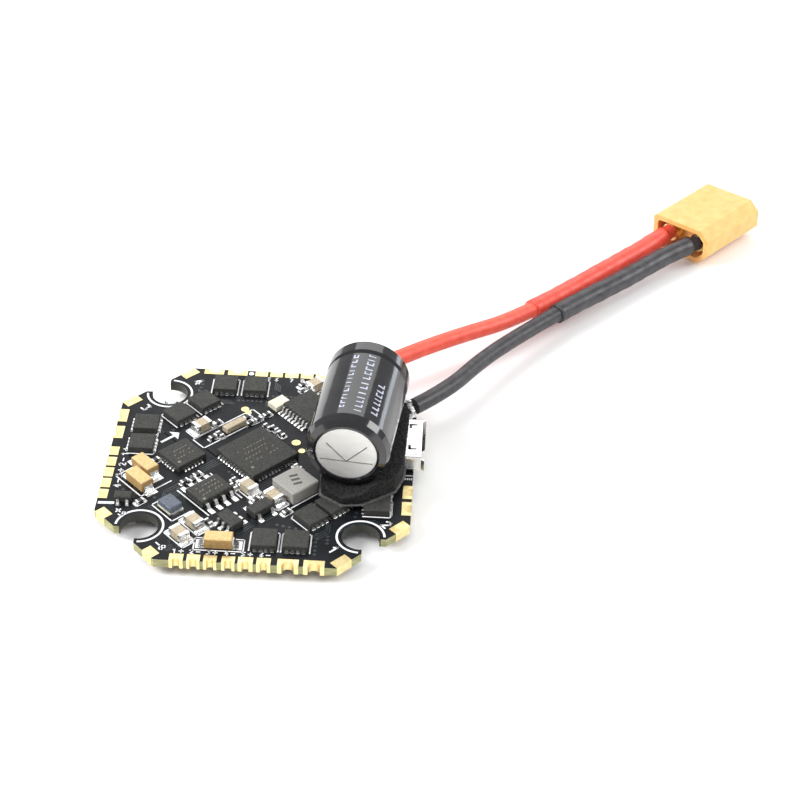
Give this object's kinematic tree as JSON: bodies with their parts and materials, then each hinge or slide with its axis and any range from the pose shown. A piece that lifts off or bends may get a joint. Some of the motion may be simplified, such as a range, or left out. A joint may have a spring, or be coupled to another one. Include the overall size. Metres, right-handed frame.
{
  "type": "flight controller board",
  "caption": "Square flight controller and motor driver board with open corner mounting holes, a filter capacitor and a soldered battery lead ending in a two-pole plug.",
  "frame": {"origin": "centre of the four mounting holes on the board's underside", "axes": "+Z out of the component side, +X towards the USB socket, +Y towards the edge with the battery lead"},
  "size_m": [0.0845, 0.0853, 0.0144],
  "materials": {
    "solder_mask": "glass fibre laminate under a satin near-black solder mask",
    "gold_plating": "pale immersion gold over copper",
    "epoxy": "moulded epoxy, fine matt grain",
    "tin": "tinned, satin",
    "ferrite": "grey ferrite composite, matt",
    "ferrite_dark": "blue-grey ferrite",
    "pale_plastic": "cream ceramic and resin",
    "tantalum_resin": "tan moulded resin",
    "ceramic": "beige fired ceramic",
    "resistor_coat": "black glazed coating",
    "steel": "plated pressed steel",
    "black_plastic": "black moulded plastic",
    "foam": "black open-cell foam tape",
    "aluminium": "drawn aluminium can",
    "black_sleeve": "glossy shrink sleeve",
    "rubber": "black rubber seal",
    "winding": "wound foil and paper",
    "red_silicone": "soft satin red silicone insulation and sleeve",
    "black_silicone": "soft satin black silicone insulation",
    "plug_nylon": "pale amber nylon",
    "brass": "gold-plated brass"
  },
  "bodies": {
    "board": {"barometer": "steel", "battery_solder_joints": "tin", "black_sleeve": "black_sleeve", "black_wire": "black_silicone", "boot_button_housing": "steel", "bottom_edge_pads": "gold_plating", "capacitor_bung": "rubber", "capacitor_can": "aluminium", "capacitor_leads": "tin", "capacitor_sleeve": "black_sleeve", "capacitor_winding": "winding", "ceramic_capacitor_bodies": "ceramic", "ceramic_capacitor_ends": "tin", "circuit_board": "solder_mask", "corner_pads": "gold_plating", "esc_controllers": "epoxy", "flash_chip_body": "epoxy", "flash_chip_legs": "tin", "foam_pad": "foam", "gate_drivers": "epoxy", "inductor_terminals": "tin", "interface_chip": "epoxy", "interface_chip_terminals": "tin", "left_edge_pads": "gold_plating", "microcontroller": "epoxy", "microcontroller_terminals": "tin", "mosfet_terminals": "tin", "motion_sensor": "black_plastic", "motor_1_mosfets": "epoxy", "motor_2_mosfets": "epoxy", "motor_3_mosfets": "epoxy", "motor_4_mosfets": "epoxy", "oscillator": "pale_plastic", "osd_chip_body": "epoxy", "osd_chip_legs": "tin", "plug_contacts": "brass", "plug_housing": "plug_nylon", "power_inductor_core": "ferrite", "red_sleeve": "red_silicone", "red_wire": "red_silicone", "resistor_bodies": "resistor_coat", "resistor_ends": "tin", "resonator": "ceramic", "right_edge_pads": "gold_plating", "small_inductor_core": "ferrite_dark", "small_inductor_frame": "pale_plastic", "small_transistor_bodies": "epoxy", "small_transistor_legs": "tin", "tantalum_bodies": "tantalum_resin", "tantalum_terminals": "tin", "test_pads": "gold_plating", "top_edge_pads": "gold_plating", "underside_capacitor_bodies": "ceramic", "underside_capacitor_ends": "tin", "underside_terminals": "tin", "usb_base": "black_plastic", "usb_contacts": "gold_plating", "usb_shell": "steel", "usb_tongue": "black_plastic"},
    "button": {"boot_button": "black_plastic"}
  },
  "joints": [
    {"name": "boot_button_press", "type": "slide", "parent": "board", "child": "button", "axis": [0, 0, 1], "range_m": [0, 0.0002], "stiffness_N_per_m": 300, "springref_m": -0.0002}
  ]
}
